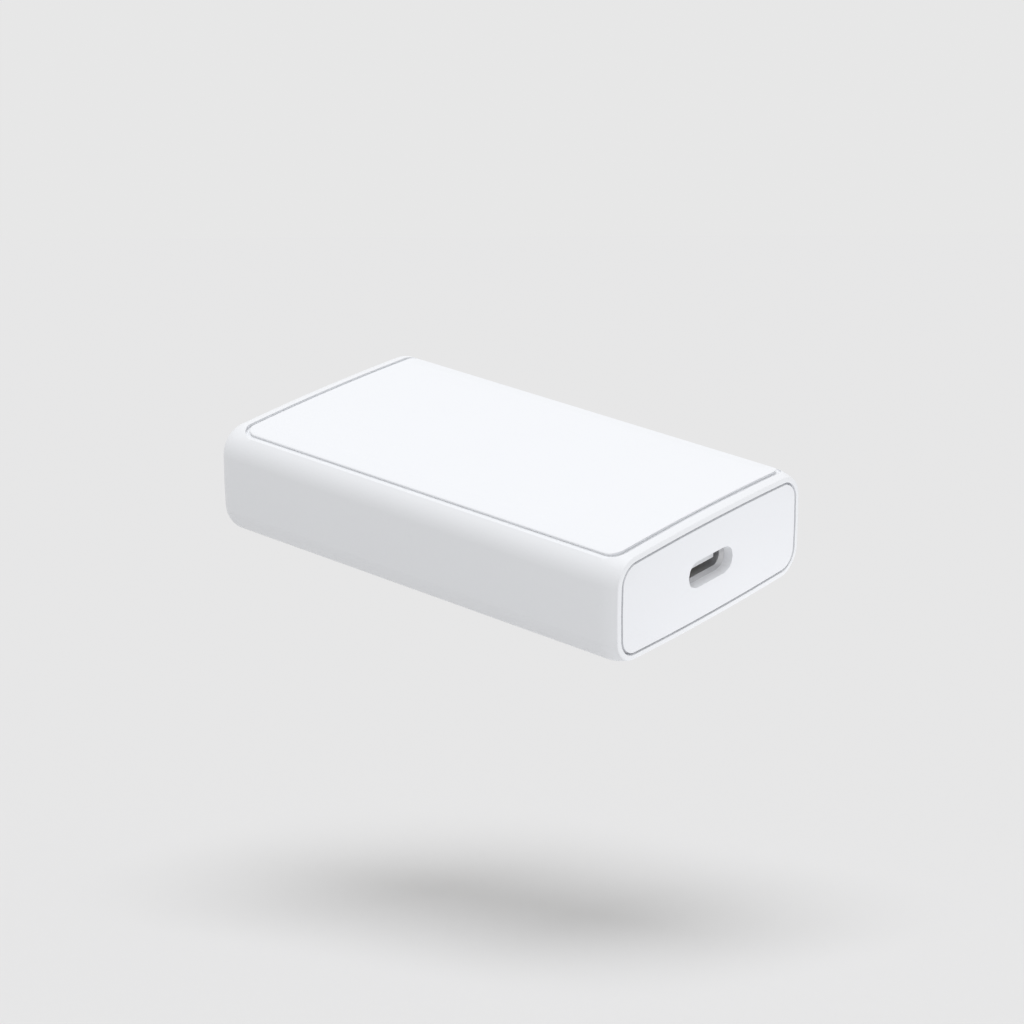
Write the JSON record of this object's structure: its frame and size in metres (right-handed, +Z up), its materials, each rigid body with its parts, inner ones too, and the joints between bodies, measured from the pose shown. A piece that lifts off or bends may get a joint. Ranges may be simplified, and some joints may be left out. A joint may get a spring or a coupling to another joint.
{
  "type": "wall charger",
  "caption": "Slim white wall charger: crowned sleeve with a flush top panel, charging port in the end cap and mains blades that fold into the underside.",
  "frame": {"origin": "centre of the underside, on the surface that the charger lies on", "axes": "+X along the length towards the charging port, +Y across the width, +Z up through the top panel"},
  "size_m": [0.0692, 0.04, 0.016],
  "materials": {
    "shell_white": "satin",
    "panel_white": "satin",
    "cap_white": "satin",
    "bay_white": "satin",
    "blade_metal": "nickel plated, polished",
    "leaf_metal": "bright",
    "board_green": "satin",
    "film_yellow": "satin",
    "fuse_ceramic": "matte",
    "ferrite": "matte",
    "copper_wire": "enamelled",
    "package_black": "matte",
    "port_moulding": "satin",
    "port_metal": "satin",
    "gold_contact": "plated",
    "can_sleeve": "sleeved",
    "can_metal": "satin",
    "winding_tape": "satin",
    "disc_blue": "gloss",
    "spreader_metal": "satin",
    "pad_grey": "matte"
  },
  "bodies": {
    "charger": {"housing": "shell_white", "top_panel": "panel_white", "end_cap": "cap_white", "plug_bay": "bay_white", "bay_cover": "bay_white", "contact_leaf_left": "leaf_metal", "contact_leaf_right": "leaf_metal", "input_board": "board_green", "main_board": "board_green", "link_pins": "leaf_metal", "safety_capacitor": "film_yellow", "fuse": "fuse_ceramic", "choke_core": "ferrite", "choke_winding": "copper_wire", "bridge_rectifier": "package_black", "port_shell": "port_metal", "port_insulator": "port_moulding", "port_contacts": "gold_contact", "bulk_capacitor_left": "can_sleeve", "bulk_capacitor_right": "can_sleeve", "transformer_core": "ferrite", "transformer_spool": "package_black", "transformer_winding": "winding_tape", "feedback_coupler": "package_black", "bridging_capacitor": "disc_blue", "output_capacitor_left": "can_metal", "output_capacitor_right": "can_metal", "port_controller": "package_black", "sync_rectifier": "package_black", "power_switch": "package_black", "primary_controller": "package_black", "heat_spreader": "spreader_metal", "thermal_pad": "pad_grey"},
    "plug": {"blade_carrier": "bay_white", "blade_left": "blade_metal", "blade_right": "blade_metal"}
  },
  "joints": [
    {"name": "plug_fold", "type": "hinge", "parent": "charger", "child": "plug", "pos_m": [-0.0256, 0, 0.0036], "axis": [0, 1, 0], "range_deg": [0, 90]}
  ]
}
